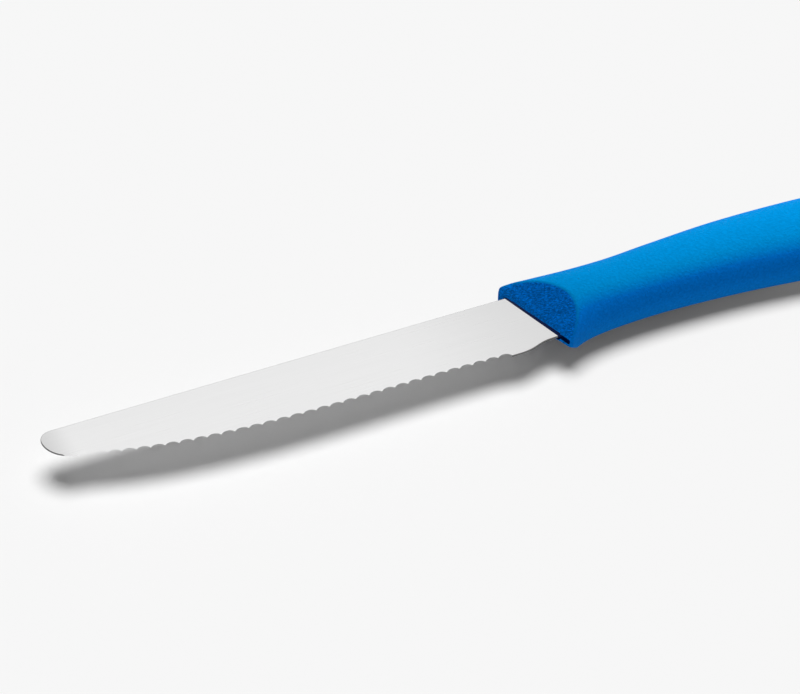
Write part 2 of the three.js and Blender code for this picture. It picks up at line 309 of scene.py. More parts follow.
def deselect():
    """Leaves edit mode and selects nothing"""
    if bpy.context.object and bpy.context.object.mode != "OBJECT":
        bpy.ops.object.mode_set(mode="OBJECT")
    bpy.ops.object.select_all(action="DESELECT")


def pick(piece, test):
    """Selects the points of the mesh being edited whose place in millimetres passes a test"""
    mesh = bmesh.from_edit_mesh(piece.data)
    for point in mesh.verts:
        point.select = bool(test(point.co / MM))
    mesh.select_flush_mode()
    bmesh.update_edit_mesh(piece.data)


def only(piece):
    """Makes a piece the one that operators act on"""
    deselect()
    piece.select_set(True)
    bpy.context.view_layer.objects.active = piece


def cut(piece, tool, operation):
    """Applies one Boolean and takes its tool away"""
    only(piece)
    modifier = piece.modifiers.new(operation.lower(), "BOOLEAN")
    modifier.operation = operation
    modifier.solver = "EXACT"
    modifier.object = tool
    bpy.ops.object.modifier_apply(modifier=modifier.name)
    bpy.data.objects.remove(tool)


def finish(piece, name, material):
    """Cleans a mesh, moves it to the CAD's place and gives it its name and material"""
    only(piece)
    bpy.ops.object.mode_set(mode="EDIT")
    bpy.ops.mesh.select_all(action="SELECT")
    bpy.ops.mesh.remove_doubles(threshold=MERGE)
    bpy.ops.mesh.dissolve_degenerate(threshold=MERGE)
    bpy.ops.mesh.normals_make_consistent(inside=False)
    bpy.ops.object.mode_set(mode="OBJECT")
    bpy.ops.transform.translate(value=ORIGIN)
    bpy.ops.object.transform_apply(location=True, rotation=True, scale=True)
    bpy.ops.object.shade_smooth_by_angle(angle=SMOOTH_ANGLE)
    piece.name = name
    piece.data.name = name
    piece.data.materials.clear()
    piece.data.materials.append(material)


# Flat outlines: a path is a list of points with the two handles of each

def start_path(x, y):
    """A path with its first point"""
    return [[Vector((x, y)), None, None]]


def curve_to(path, first, second, end):
    """A curve with its two control points"""
    path[-1][2] = Vector(first)
    path.append([Vector(end), Vector(second), None])


def line_to(path, x, y):
    """A straight line"""
    start = path[-1][0]
    end = Vector((x, y))
    curve_to(path, start.lerp(end, 1 / 3), start.lerp(end, 2 / 3), end)


def arc_to(path, centre, turn):
    """An arc about a centre, of up to a quarter turn, counted anticlockwise"""
    start = path[-1][0]
    arm = start - Vector(centre)
    cos, sin = math.cos(turn), math.sin(turn)
    end_arm = Vector((arm.x * cos - arm.y * sin, arm.x * sin + arm.y * cos))
    end = Vector(centre) + end_arm
    pull = 4 / 3 * math.tan(turn / 4)
    first = start + pull * Vector((-arm.y, arm.x))
    second = end - pull * Vector((-end_arm.y, end_arm.x))
    curve_to(path, first, second, end)


def plate(path, holes, half_depth):
    """A plate from a closed path, with round holes, as a mesh"""
    deselect()
    bpy.ops.curve.primitive_bezier_curve_add()
    outline = bpy.context.object
    curve = outline.data
    curve.dimensions = "2D"
    curve.fill_mode = "BOTH"
    curve.extrude = half_depth * MM
    curve.resolution_u = OUTLINE_STEPS
    path[0][1] = path[-1][1]
    corners = path[:-1]
    spline = curve.splines[0]
    spline.bezier_points.add(len(corners) - len(spline.bezier_points))
    spline.use_cyclic_u = True
    for point, (place, before, after) in zip(spline.bezier_points, corners):
        point.handle_left_type = "FREE"
        point.handle_right_type = "FREE"
        point.co = mm(*place, 0)
        point.handle_left = mm(*before, 0)
        point.handle_right = mm(*after, 0)
    bpy.ops.object.mode_set(mode="EDIT")
    for x, y, radius in holes:
        bpy.ops.curve.primitive_bezier_circle_add(radius=radius * MM, location=mm(x, y, 0))
    bpy.ops.object.mode_set(mode="OBJECT")
    bpy.ops.object.convert(target="MESH")
    bpy.ops.object.mode_set(mode="EDIT")
    bpy.ops.mesh.select_all(action="SELECT")
    bpy.ops.mesh.remove_doubles(threshold=NEAR)
    bpy.ops.mesh.normals_make_consistent(inside=False)
    bpy.ops.mesh.dissolve_limited(angle_limit=FLAT_ANGLE)
    bpy.ops.object.mode_set(mode="OBJECT")
    return bpy.context.object


def mouth_x(y):
    """Where the handle's land lies at a height on the blade"""
    return MOUTH_SETBACK - MOUTH_SLANT * y


def add_tang(path, root_x, grow):
    """Draws the tang from its edge side, round its end and back, grown all round for the socket"""
    root_half = TANG_ROOT_WIDTH / 2 + grow
    end_half = TANG_END_WIDTH / 2 + grow
    end_x = TANG_END_X - TANG_END_WIDTH / 2
    line_to(path, root_x(TANG_CENTRE_Y - root_half), TANG_CENTRE_Y - root_half)
    line_to(path, end_x, TANG_CENTRE_Y - end_half)
    arc_to(path, (end_x, TANG_CENTRE_Y), math.pi / 2)
    arc_to(path, (end_x, TANG_CENTRE_Y), math.pi / 2)
    line_to(path, root_x(TANG_CENTRE_Y + root_half), TANG_CENTRE_Y + root_half)
    return [(x, TANG_CENTRE_Y, TANG_HOLE_RADIUS - grow) for x in TANG_HOLES_X]


# Blade

def edge_points():
    """The cutting edge as one Bezier curve, from the tip's belly to the heel: start, two controls, end"""
    belly = Vector((-BLADE_LENGTH + TIP_BELLY_RADIUS, -TIP_TOP_RADIUS))
    arc_end = math.pi + TIP_BELLY_TURN
    start = belly + TIP_BELLY_RADIUS * Vector((math.cos(arc_end), math.sin(arc_end)))
    heading = Vector((math.sin(TIP_BELLY_TURN), -math.cos(TIP_BELLY_TURN)))
    heel = Vector((HEEL_X, -HEEL_WIDTH))
    heel_heading = Vector((-math.cos(HEEL_SLOPE), math.sin(HEEL_SLOPE)))
    return start, start + EDGE_TIP_REACH * heading, heel + EDGE_HEEL_REACH * heel_heading, heel


def cusps(count):
    """Points that share the cutting edge, from behind the nose, into scallops of one length"""
    a, b, c, d = edge_points()
    fine = EDGE_SAMPLES * count
    line = []
    for i in range(fine + 1):
        t = i / fine
        u = 1 - t
        line.append(u ** 3 * a + 3 * u * u * t * b + 3 * u * t * t * c + t ** 3 * d)
    along = [0]
    for before, after in zip(line, line[1:]):
        along.append(along[-1] + (after - before).length)
    found = []
    k = 0
    for i in range(count + 1):
        while k < fine and along[k] < SERRATION_START + (along[-1] - SERRATION_START) * i / count:
            k += 1
        found.append(line[k] + Vector((0, SERRATION_STOCK)))
    return found


def blank():
    """The stamped blank: blade, shoulders and tang in one plate"""
    def shoulder_x(y):
        return mouth_x(y) + SHOULDER_DEPTH

    sweep_start = HEEL_X + HEEL_FLAT
    sweep_end = sweep_start + HEEL_SWEEP
    sweep_middle = (sweep_start + sweep_end) / 2
    top = (-BLADE_LENGTH + TIP_TOP_RADIUS, -TIP_TOP_RADIUS)
    belly = (-BLADE_LENGTH + TIP_BELLY_RADIUS, -TIP_TOP_RADIUS)
    _, first, second, heel = edge_points()
    path = start_path(shoulder_x(0), -SPINE_DROP)
    line_to(path, top[0], 0)
    arc_to(path, top, math.pi / 2)
    arc_to(path, belly, TIP_BELLY_TURN)
    curve_to(path, first, second, heel)
    line_to(path, sweep_start, -HEEL_WIDTH)
    curve_to(path, (sweep_middle, -HEEL_WIDTH), (sweep_middle, -MOUTH_WIDTH), (sweep_end, -MOUTH_WIDTH))
    line_to(path, shoulder_x(-MOUTH_WIDTH), -MOUTH_WIDTH)
    holes = add_tang(path, shoulder_x, 0)
    line_to(path, shoulder_x(0), -SPINE_DROP)
    return plate(path, holes, CUTTER_HALF)


def thickness_at(spine, x, y):
    """Thickness of the strip at a place on the blade"""
    return spine + EDGE_TAPER * y + TIP_TAPER * min(x - TIP_TAPER_START, 0)


def tapered_strip(spine):
    """Rolled strip, thinner towards the edge and, ahead of the heel, towards the tip"""
    deselect()
    along = ((-1, -BLADE_LENGTH - STRIP_MARGIN), (1, TANG_END_X + STRIP_MARGIN), (0, TIP_TAPER_START))
    across = ((-1, -HEEL_WIDTH - STRIP_MARGIN), (1, STRIP_MARGIN))
    bpy.ops.mesh.primitive_cube_add(size=2 * MM)
    strip = bpy.context.object
    bpy.ops.object.mode_set(mode="EDIT")
    bpy.ops.mesh.bisect(plane_co=(0, 0, 0), plane_no=(1, 0, 0))
    for side, x in along:
        for edge, y in across:
            half = thickness_at(spine, x, y) / 2
            pick(strip, lambda p: same(p.x, side) and same(p.y, edge))
            bpy.ops.transform.resize(value=(1, 1, half), center_override=(0, 0, 0))
    for side, x in along:
        pick(strip, lambda p: same(p.x, side))
        bpy.ops.transform.translate(value=mm(x - side, 0, 0))
    for edge, y in across:
        pick(strip, lambda p: same(p.y, edge))
        bpy.ops.transform.translate(value=mm(0, y - edge, 0))
    bpy.ops.object.mode_set(mode="OBJECT")
    return strip


def scallop_cutter(radius):
    """A leaning cylinder: its circle in the blade's upper face runs inwards as it goes down"""
    deselect()
    bpy.ops.mesh.primitive_cylinder_add(
        vertices=CUTTER_SIDES, radius=radius * MM, depth=2 * CUTTER_HALF * MM)
    cutter = bpy.context.object
    run = CUTTER_HALF / math.tan(GRIND_ANGLE)
    bpy.ops.object.mode_set(mode="EDIT")
    for side in (-1, 1):
        pick(cutter, lambda p: p.z * side > 0)
        bpy.ops.transform.translate(value=mm(0, -run * side, 0))
    bpy.ops.object.mode_set(mode="OBJECT")
    return cutter


def grind_scallops(blade, spine, count, depth):
    """Grinds every second scallop, then the ones between"""
    points = cusps(count)
    half_chord = (points[count // 2 + 1] - points[count // 2]).length / 2
    radius = (half_chord ** 2 + depth ** 2) / (2 * depth)
    pattern = scallop_cutter(radius)
    for first in (0, 1):
        copies = []
        for i in range(first, count, 2):
            along = points[i + 1] - points[i]
            middle = (points[i + 1] + points[i]) / 2
            outward = Vector((along.y, -along.x)).normalized()
            centre = middle + outward * (radius - depth)
            only(pattern)
            bpy.ops.object.duplicate(linked=False)
            copy = bpy.context.object
            copy.location = mm(*centre, thickness_at(spine, *middle) / 2)
            copy.rotation_euler = (0, 0, math.atan2(along.y, along.x))
            copies.append(copy)
        deselect()
        for copy in copies:
            copy.select_set(True)
        bpy.context.view_layer.objects.active = copies[0]
        bpy.ops.object.transform_apply(location=True, rotation=True, scale=True)
        bpy.ops.object.join()
        cut(blade, copies[0], "DIFFERENCE")
    bpy.data.objects.remove(pattern)


def break_edges(blade, width):
    """Rounds the stamped corners along the spine and round the tip"""
    only(blade)
    bpy.ops.object.mode_set(mode="EDIT")
    bpy.ops.mesh.select_mode(type="EDGE")
    bpy.ops.mesh.select_all(action="DESELECT")
    bpy.ops.mesh.edges_select_sharp(sharpness=STAMPED_CORNER)
    mesh = bmesh.from_edit_mesh(blade.data)
    tip_end = edge_points()[0].x - SERRATION_STOCK
    for edge in mesh.edges:
        at = (edge.verts[0].co + edge.verts[1].co) / 2 / MM
        on_spine = at.y > -SPINE_DROP - SAME and at.x < 0
        upright = abs(edge.verts[0].co.z - edge.verts[1].co.z) > edge.calc_length() / 2
        edge.select_set(edge.select and not upright and (on_spine or at.x < tip_end))
    bmesh.update_edit_mesh(blade.data)
    bpy.ops.mesh.bevel(offset=width, segments=BREAK_SEGMENTS, affect="EDGES")
    bpy.ops.mesh.select_mode(type="VERT")
    bpy.ops.object.mode_set(mode="OBJECT")


def mark_root(blade):
    """Parts the blade's faces just ahead of the handle, where the grinding stops"""
    only(blade)
    bpy.ops.object.mode_set(mode="EDIT")
    bpy.ops.mesh.select_all(action="SELECT")
    facing = Vector((1, ROOT_SLANT, 0)).normalized()
    bpy.ops.mesh.bisect(plane_co=mm(ROOT_X, 0, 0), plane_no=facing, threshold=NEAR)
    bpy.ops.object.mode_set(mode="OBJECT")


def stainless(colour):
    """Stainless strip, ground to a fine satin along the blade: pale and softly streaked, darkened with
    painted shade and reflection near the handle and with painted shade at the nose
    """
    material, tree = new_material("stainless_steel_satin_ground")
    place = add_node(tree, "ShaderNodeTexCoord", {})
    stretch = add_node(tree, "ShaderNodeMapping", {
        "Vector": place.outputs["Object"], "Scale": mm(*STREAK)}, vector_type="TEXTURE")
    streaks = add_node(tree, "ShaderNodeTexNoise", {
        "Vector": stretch.outputs["Vector"], "Scale": 1, "Detail": 3})
    gloss = remap(tree, streaks.outputs["Fac"], STREAK_RANGE, SATIN_ROUGHNESS)
    satin = remap(tree, streaks.outputs["Fac"], STREAK_RANGE, SATIN_LEVEL)
    bump = add_node(tree, "ShaderNodeBump", {
        "Height": streaks.outputs["Fac"], "Strength": 0.15, "Distance": STREAK_DEPTH * MM})
    along = add_node(tree, "ShaderNodeSeparateXYZ", {"Vector": place.outputs["Object"]})
    # painted reflection of the dark handle: the steel darkens towards the handle's lip
    fading = (ORIGIN.x - HANDLE_SHADE_START * MM, ORIGIN.x + HANDLE_SHADE_END * MM)
    dull = remap(tree, along.outputs["X"], fading, (1, HANDLE_SHADE_LEVEL), "SMOOTHSTEP")
    # painted shade darkens the nose along its rounded outline
    tip_x = ORIGIN.x - BLADE_LENGTH * MM
    nose = (tip_x, tip_x + NOSE_SHADE_LENGTH * MM)
    nose_shade = remap(tree, along.outputs["X"], nose, (NOSE_SHADE_LEVEL, 1), "SMOOTHSTEP")
    ends = add_node(tree, "ShaderNodeMath", {0: dull, 1: nose_shade}, operation="MULTIPLY")
    level = add_node(tree, "ShaderNodeMath", {0: satin, 1: ends.outputs["Value"]}, operation="MULTIPLY")
    tint = add_node(tree, "ShaderNodeHueSaturation", {"Color": colour, "Value": level.outputs["Value"]})
    shader = add_node(tree, "ShaderNodeBsdfPrincipled", {
        "Base Color": tint.outputs["Color"], "Metallic": 1, "Roughness": gloss,
        "Normal": bump.outputs["Normal"]})
    add_node(tree, "ShaderNodeOutputMaterial", {"Surface": shader.outputs["BSDF"]})
    return material


def shaded_unground_steel(name, dark, light):
    """Steel that was not ground, with a fine uneven skin, and darkened with painted shade"""
    material, tree = new_material(name)
    place = add_node(tree, "ShaderNodeTexCoord", {})
    uneven = add_node(tree, "ShaderNodeTexNoise", {
        "Vector": place.outputs["Object"], "Scale": 1 / (ROLLED_SKIN * MM), "Detail": 2})
    tint = add_node(tree, "ShaderNodeMixRGB", {
        "Fac": uneven.outputs["Fac"], "Color1": linear(dark), "Color2": linear(light)})
    shader = add_node(tree, "ShaderNodeBsdfPrincipled", {
        "Base Color": tint.outputs["Color"], "Metallic": 1, "Roughness": 0.6})
    add_node(tree, "ShaderNodeOutputMaterial", {"Surface": shader.outputs["BSDF"]})
    return material


def part_steel(blade):
    """Gives the root and the tang a deep blue painted shade and painted reflection of the recess, and the
    stamped edges sheared steel darkened with painted reflection of the shadowed floor
    """
    # The root shows in and just ahead of the handle's recess, and is drawn in the recess's deep blue as
    # painted shade and painted reflection of the moulding
    blade.data.materials.append(shaded_unground_steel("stainless_steel_root_painted_shade", "001238", "001c50"))
    # The stamped edges are dull sheared steel, drawn darker still with painted reflection of the shadowed
    # floor
    blade.data.materials.append(shaded_unground_steel("stainless_steel_sheared_and_shaded", "585858", "808080"))
    for face in blade.data.polygons:
        p = (face.center - ORIGIN) / MM
        bright_edge = face.normal.y < 0 and BRIGHT_EDGE[0] < p.x + BLADE_LENGTH < BRIGHT_EDGE[1]
        if p.x + ROOT_SLANT * p.y > ROOT_X:
            face.material_index = 1
        elif SHEARED_FACING[0] < face.normal.z < SHEARED_FACING[1] and not bright_edge:
            face.material_index = 2


class KNIFE_OT_blade(bpy.types.Operator):
    """Stamp the blank, taper it, grind the serration and break the edges"""

    bl_idname = "knife.blade"
    bl_label = "Blade"

    def execute(self, context):
        settings = context.scene.knife_blade
        spine = settings.thickness / MM
        blade = blank()
        cut(blade, tapered_strip(spine), "INTERSECT")
        grind_scallops(blade, spine, settings.scallops, settings.scallop_depth / MM)
        break_edges(blade, settings.edge_break)
        mark_root(blade)
        finish(blade, BLADE_NAME, stainless(settings.steel))
        part_steel(blade)
        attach(blade, "root")
        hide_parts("blade")
        return {"FINISHED"}


# Handle

def through(column, x):
    """Smooth curve through one column of the stations"""
    last = len(STATIONS) - 1
    i = 0
    while i < last - 1 and x > STATIONS[i + 1][0]:
        i += 1

    def slope(k):
        before, after = STATIONS[max(k - 1, 0)], STATIONS[min(k + 1, last)]
        return (after[column] - before[column]) / (after[0] - before[0])

    a, b = STATIONS[i], STATIONS[i + 1]
    span = b[0] - a[0]
    t = (x - a[0]) / span
    blend = t * t * (3 - 2 * t)
    leave = t * (1 - t) ** 2 * span * slope(i)
    arrive = t * t * (1 - t) * span * slope(i + 1)
    return a[column] * (1 - blend) + b[column] * blend + leave - arrive


def section(x):
    """Middle, half height, half thickness and squareness of the handle at x"""
    flare = math.exp((FLARE_X - max(x, FLARE_START)) / FLARE_DECAY)
    top = through(1, x)
    bottom = through(2, x) - EDGE_FLARE * flare
    into_butt = max(x - BUTT_START, 0) / (HANDLE_LENGTH - BUTT_START)
    shrink = (1 - into_butt ** BUTT_POWER) ** (1 / BUTT_POWER)
    return (top + bottom) / 2, (top - bottom) / 2 * shrink, through(3, x) * shrink, through(4, x)


def add_ring(handle, x):
    """One section: a rectangle whose corners are bevelled until they meet, then leant towards the edge"""
    middle, half_height, half_thickness, power = section(x)
    centre = mm(x, middle, 0)
    squareness = 4 ** (-1 / power)  # the bevel's profile that gives an oval of this power
    bpy.ops.mesh.primitive_plane_add(size=2 * MM, location=centre, rotation=(0, math.pi / 2, 0))
    bpy.ops.transform.resize(value=(1, half_height, half_thickness), center_override=centre)
    bpy.ops.mesh.bevel(
        offset_type="PERCENT", offset_pct=50, affect="VERTICES", segments=CORNER_STEPS, profile=squareness)
    for side in (-1, 1):
        pick(handle, lambda p: same(p.x, x) and (p.y - middle) * side > NEAR / MM)
        bpy.ops.transform.resize(value=(1, 1 + side * OVAL_LEAN, 1), center_override=centre)
    pick(handle, lambda p: same(p.x, x))
    bpy.ops.transform.translate(value=mm(0, -OVAL_LEAN * half_height, 0))


def ring_places():
    """Where the sections stand, closer together at the finger stop and the butt"""
    spans = (
        (STATIONS[0][0], FLARE_END, RINGS["flare"]),
        (FLARE_END, WAIST_X, RINGS["waist"]),
        (WAIST_X, BUTT_START, RINGS["grip"]),
    )
    places = [a + (b - a) * i / count for a, b, count in spans for i in range(count)]
    reach = HANDLE_LENGTH - BUTT_START
    turns = [i / RINGS["butt"] * math.pi / 2 for i in range(RINGS["butt"])]
    return places + [BUTT_START + reach * math.sin(turn) for turn in turns]


def skin():
    """The handle's skin: sections bridged from the mouth to the butt, closed at the butt"""
    deselect()
    places = ring_places()
    bpy.ops.mesh.primitive_plane_add(size=MM)
    handle = bpy.context.object
    bpy.ops.object.mode_set(mode="EDIT")
    bpy.ops.mesh.select_all(action="SELECT")
    bpy.ops.mesh.delete(type="VERT")
    for x in places:
        add_ring(handle, x)
    bpy.ops.mesh.select_all(action="SELECT")
    bpy.ops.mesh.delete(type="ONLY_FACE")
    bpy.ops.mesh.select_all(action="SELECT")
    bpy.ops.mesh.remove_doubles(threshold=NEAR)
    bpy.ops.mesh.bridge_edge_loops()
    pick(handle, lambda p: same(p.x, places[-1]))
    bpy.ops.mesh.edge_face_add()
    bpy.ops.mesh.select_all(action="SELECT")
    bpy.ops.mesh.normals_make_consistent(inside=False)
    pick(handle, lambda p: same(p.x, places[-1]))
    bpy.ops.mesh.poke(offset=(HANDLE_LENGTH - places[-1]) * MM)
    return handle


def front_planes(p, shrink=1):
    """Where the land, the lower bevel and the upper bevel lie at a point's y and z"""
    sunk = (1 - shrink) * (BEVEL_DEPTH - BEVEL_SKEW * (FRONT_MIDDLE - ROLL_Y))
    land = mouth_x(p.y) - sunk + LAND_LEAN * p.z
    apex = mouth_x(p.y) - BEVEL_DEPTH + BEVEL_SKEW * (FRONT_MIDDLE - p.y)
    return land, apex - BEVEL_RUN * p.z, apex + BEVEL_RUN * p.z


def lip_share(p):
    """How much of the lip stands at a point: all of it up to its rounded corner, none past it"""
    fade = min(max((LIP_HALF - abs(p.z)) / LIP_ROUND, 0), 1)
    return math.sqrt(1 - (1 - fade) ** 2) if p.y > LIP_Y else 0


def push_lip(handle):
    """Brings the rim's spine end forward to the upright lip that ends the bevels there"""
    mesh = bmesh.from_edit_mesh(handle.data)
    for point in mesh.verts:
        p = point.co / MM
        if point.is_boundary:
            depth = max(front_planes(p)) - mouth_x(p.y) + MOUTH_SETBACK
            point.co.x -= depth * lip_share(p) * MM
    bmesh.update_edit_mesh(handle.data)


def sink_lip(handle, shrink):
    """Takes the selected row back from the lip's front to the land and the bevels"""
    mesh = bmesh.from_edit_mesh(handle.data)
    for point in mesh.verts:
        if point.select:
            p = point.co / MM
            land, lower, upper = front_planes(p, shrink)
            on_ridge = same(land, max(lower, upper))
            p.y -= LIP_DRAFT * max(land - p.x, lower - p.x, upper - p.x, 0)
            if on_ridge:
                below = Vector((0, p.y, 0))
                rise = front_planes(below, shrink)[0] - front_planes(below)[1]
                p.z = rise / (math.copysign(BEVEL_RUN, p.z) - LAND_LEAN)
            p.x = max(front_planes(p, shrink))
            point.co = p * MM
    bmesh.update_edit_mesh(handle.data)


def fill_front(handle, shrink):
    """Closes the rim with the land and the two bevels"""
    mesh = bmesh.from_edit_mesh(handle.data)
    rim = [point.co / MM for point in mesh.verts if point.is_boundary]
    for plane in (1, 2, 0):
        flush = [p for p in rim if same(front_planes(p, shrink)[plane], p.x)]
        pick(handle, lambda p: any((p - q).length < NEAR / MM for q in flush))
        bpy.ops.mesh.edge_face_add()


def roll_rim(rim_round):
    """Rolls the selected rim over in rows that shrink towards ROLL_Y, and gives the last row's shrink"""
    pivot = mm(front_planes(Vector((0, ROLL_Y, 0)))[1], ROLL_Y, 0)
    forward, shrink = 0, 1
    for step in range(1, ROLL_STEPS + 2):
        turn = min(step / ROLL_STEPS, 1) * math.pi / 2
        next_forward = rim_round * math.sin(turn)
        next_shrink = 1 + rim_round * (1 - math.cos(turn)) / FRONT_MIDDLE
        if step > ROLL_STEPS:
            next_shrink -= ROLL_BAND
        bpy.ops.mesh.extrude_edges_move(
            TRANSFORM_OT_translate={"value": mm(forward - next_forward, 0, 0)})
        bpy.ops.transform.resize(value=(next_shrink / shrink,) * 3, center_override=pivot)
        forward, shrink = next_forward, next_shrink
    return shrink


def trim_front(handle, rim_round):
    """Cuts the land and the two bevels, rolls the rim over to them, and closes the front"""
    middle = Vector((0, FRONT_MIDDLE, 0))
    for plane, lean, skew in ((0, -LAND_LEAN, 0), (1, BEVEL_RUN, BEVEL_SKEW), (2, -BEVEL_RUN, BEVEL_SKEW)):
        place = mm(front_planes(middle)[plane] + rim_round, FRONT_MIDDLE, 0)
        facing = Vector((1, MOUTH_SLANT + skew, lean)).normalized()
        bpy.ops.mesh.select_all(action="SELECT")
        bpy.ops.mesh.bisect(plane_co=place, plane_no=facing, clear_inner=True, threshold=NEAR)
    bpy.ops.mesh.select_all(action="SELECT")
    bpy.ops.mesh.remove_doubles(threshold=RIM_MERGE)
    push_lip(handle)
    bpy.ops.mesh.select_all(action="DESELECT")
    bpy.ops.mesh.select_non_manifold(
        extend=False, use_wire=False, use_multi_face=False, use_non_contiguous=False, use_verts=False)
    shrink = roll_rim(rim_round)
    sink_lip(handle, shrink)
    fill_front(handle, shrink)
    bpy.ops.mesh.select_all(action="SELECT")
    bpy.ops.mesh.normals_make_consistent(inside=False)
    bpy.ops.object.mode_set(mode="OBJECT")


def recess_cutter(spine, edge, floor, roof, depth, slope, pinch):
    """Round-cornered tool for a recess: its floor can slope to the front, its roof come down at the spine"""
    deselect()
    turn = math.atan(MOUTH_SLANT)
    middle_y = (spine + edge) / 2
    height = roof - floor
    bpy.ops.mesh.primitive_cube_add(
        size=MM, location=mm(mouth_x(middle_y), middle_y, (floor + roof) / 2), rotation=(0, 0, turn),
        scale=(2 * depth, (spine - edge) / math.cos(turn), height))
    cutter = bpy.context.object
    bpy.ops.object.transform_apply(location=False, rotation=False, scale=True)
    bpy.ops.object.mode_set(mode="EDIT")
    mesh = bmesh.from_edit_mesh(cutter.data)
    for side in mesh.edges:
        ends = side.verts[0].co - side.verts[1].co
        side.select_set(abs(ends.x) > ends.length / 2)
    bmesh.update_edit_mesh(cutter.data)
    bpy.ops.mesh.bevel(offset=CORNER_SHARE * height * MM, segments=CORNER_SEGMENTS, affect="EDGES")
    pick(cutter, lambda p: p.x < 0 and p.z < 0)
    bpy.ops.transform.translate(value=mm(0, 0, -slope))
    pick(cutter, lambda p: p.y > 0)
    bpy.ops.transform.resize(value=(1, 1, 1 - pinch / height), center_override=mm(0, 0, floor))
    bpy.ops.object.mode_set(mode="OBJECT")
    return cutter


def socket_cutter():
    """Room for the tang, less the two pillars of plastic that lock its holes"""
    path = start_path(mouth_x(TANG_CENTRE_Y), TANG_CENTRE_Y)
    holes = add_tang(path, mouth_x, CLEARANCE)
    line_to(path, mouth_x(TANG_CENTRE_Y), TANG_CENTRE_Y)
    return plate(path, holes, SOCKET_HALF)


def polypropylene(name, top, side, under, grain, contrast, relief):
    """Blue polypropylene from a spark-eroded mould: no gloss and a grain, with painted shade giving a deeper
    blue where it turns away from the top
    """
    material, tree = new_material(name)
    place = add_node(tree, "ShaderNodeTexCoord", {})
    turn = add_node(tree, "ShaderNodeMapping", {
        "Vector": place.outputs["Object"], "Rotation": GRAIN_TURN, "Scale": mm(*grain)},
        vector_type="TEXTURE")
    flecks = add_node(tree, "ShaderNodeTexNoise", {
        "Vector": turn.outputs["Vector"], "Scale": 1, "Detail": 2, "Distortion": 0.6})
    darkest = 1 - GRAIN_LEVELS[0] * contrast
    palest = 1 + GRAIN_LEVELS[1] * contrast
    level = remap(tree, flecks.outputs["Fac"], GRAIN_RANGE, (darkest, palest))
    # painted shade: the blue deepens as the normal turns from the top to the side and underneath
    facing = add_node(tree, "ShaderNodeSeparateXYZ", {"Vector": place.outputs["Normal"]})
    low = remap(tree, facing.outputs["Z"], UNDER_FACING)
    high = remap(tree, facing.outputs["Z"], TOP_FACING)
    deep = add_node(tree, "ShaderNodeMixRGB", {"Fac": low, "Color1": under, "Color2": side})
    blue = add_node(tree, "ShaderNodeMixRGB", {"Fac": high, "Color1": deep.outputs["Color"], "Color2": top})
    tint = add_node(tree, "ShaderNodeHueSaturation", {"Color": blue.outputs["Color"], "Value": level})
    bump = add_node(tree, "ShaderNodeBump", {
        "Height": flecks.outputs["Fac"], "Strength": 1, "Distance": relief * MM})
    shader = add_node(tree, "ShaderNodeBsdfPrincipled", {
        "Base Color": tint.outputs["Color"], "Roughness": 0.6, "IOR": 1.49, "Specular IOR Level": 0.01,
        "Normal": bump.outputs["Normal"]})
    add_node(tree, "ShaderNodeOutputMaterial", {"Surface": shader.outputs["BSDF"]})
    return material


def part_plastic(handle, front, lip, recess):
    """Gives the bevels, the upper land and the lip a coarser grain, the lip a paler blue as painted light,
    and the recess and groove a dark painted shade
    """
    for name, blue in (("coarse", front), ("lip", lip), ("recess", recess)):
        handle.data.materials.append(polypropylene(
            "polypropylene_blue_" + name, blue, blue, blue, FRONT_GRAIN, FRONT_CONTRAST, FRONT_RELIEF))
    for face in handle.data.polygons:
        p = (face.center - ORIGIN) / MM
        behind = p.x - max(front_planes(p))
        hollow = RECESS if p.y > RECESS["edge"] else GROOVE
        in_hollow = abs(p.z) < HOLLOW_HALF and GROOVE["edge"] < p.y < RECESS["spine"]
        if face.normal.y < FRONT_FACING and behind < FRONT_SKIN:
            upright = abs(face.normal.z) < UPRIGHT_FACING
            if p.z > 0 or not upright:
                # upright faces get the lip's paler blue, which is painted light
                face.material_index = 2 if upright else 1
        elif in_hollow and behind < hollow["depth"] + HOLLOW_MARGIN:
            face.material_index = 3


class KNIFE_OT_handle(bpy.types.Operator):
    """Loft the handle, cut and round its front, and cut the recess and the tang's socket"""

    bl_idname = "knife.handle"
    bl_label = "Handle"

    def execute(self, context):
        settings = context.scene.knife_handle
        handle = skin()
        trim_front(handle, settings.rim_round / MM)
        cut(handle, recess_cutter(**RECESS), "DIFFERENCE")
        cut(handle, recess_cutter(**GROOVE), "DIFFERENCE")
        cut(handle, socket_cutter(), "DIFFERENCE")
        finish(handle, HANDLE_NAME, polypropylene(
            "polypropylene_blue_moulded", settings.top, settings.sides, settings.under,
            GRIP_GRAIN, GRIP_CONTRAST, GRIP_RELIEF))
        part_plastic(handle, settings.front, settings.lip, settings.recess)
        # The handle throws no blue on the floor and the blade
        handle.visible_diffuse = False
        handle.visible_glossy = False
        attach(handle, "root")
        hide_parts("handle")
        return {"FINISHED"}


# Stage

IMAGE_WIDTH = 800
FOCAL_PIXELS = 3200
SENSOR = 36
CAMERA_DISTANCE = 702
CAMERA_AZIMUTH = math.radians(-24.62)
CAMERA_ELEVATION = math.radians(40)
CAMERA_TARGET = (-27.4, -5.5, 0)
FLOOR_SIZE = 6000
FLOOR_TOUCH = 84  # the handle rests on the floor here, and the floor tilts about this line
KEY_PLACE = (108, 68, 175)
KEY_AIM = (40, -8, 0)


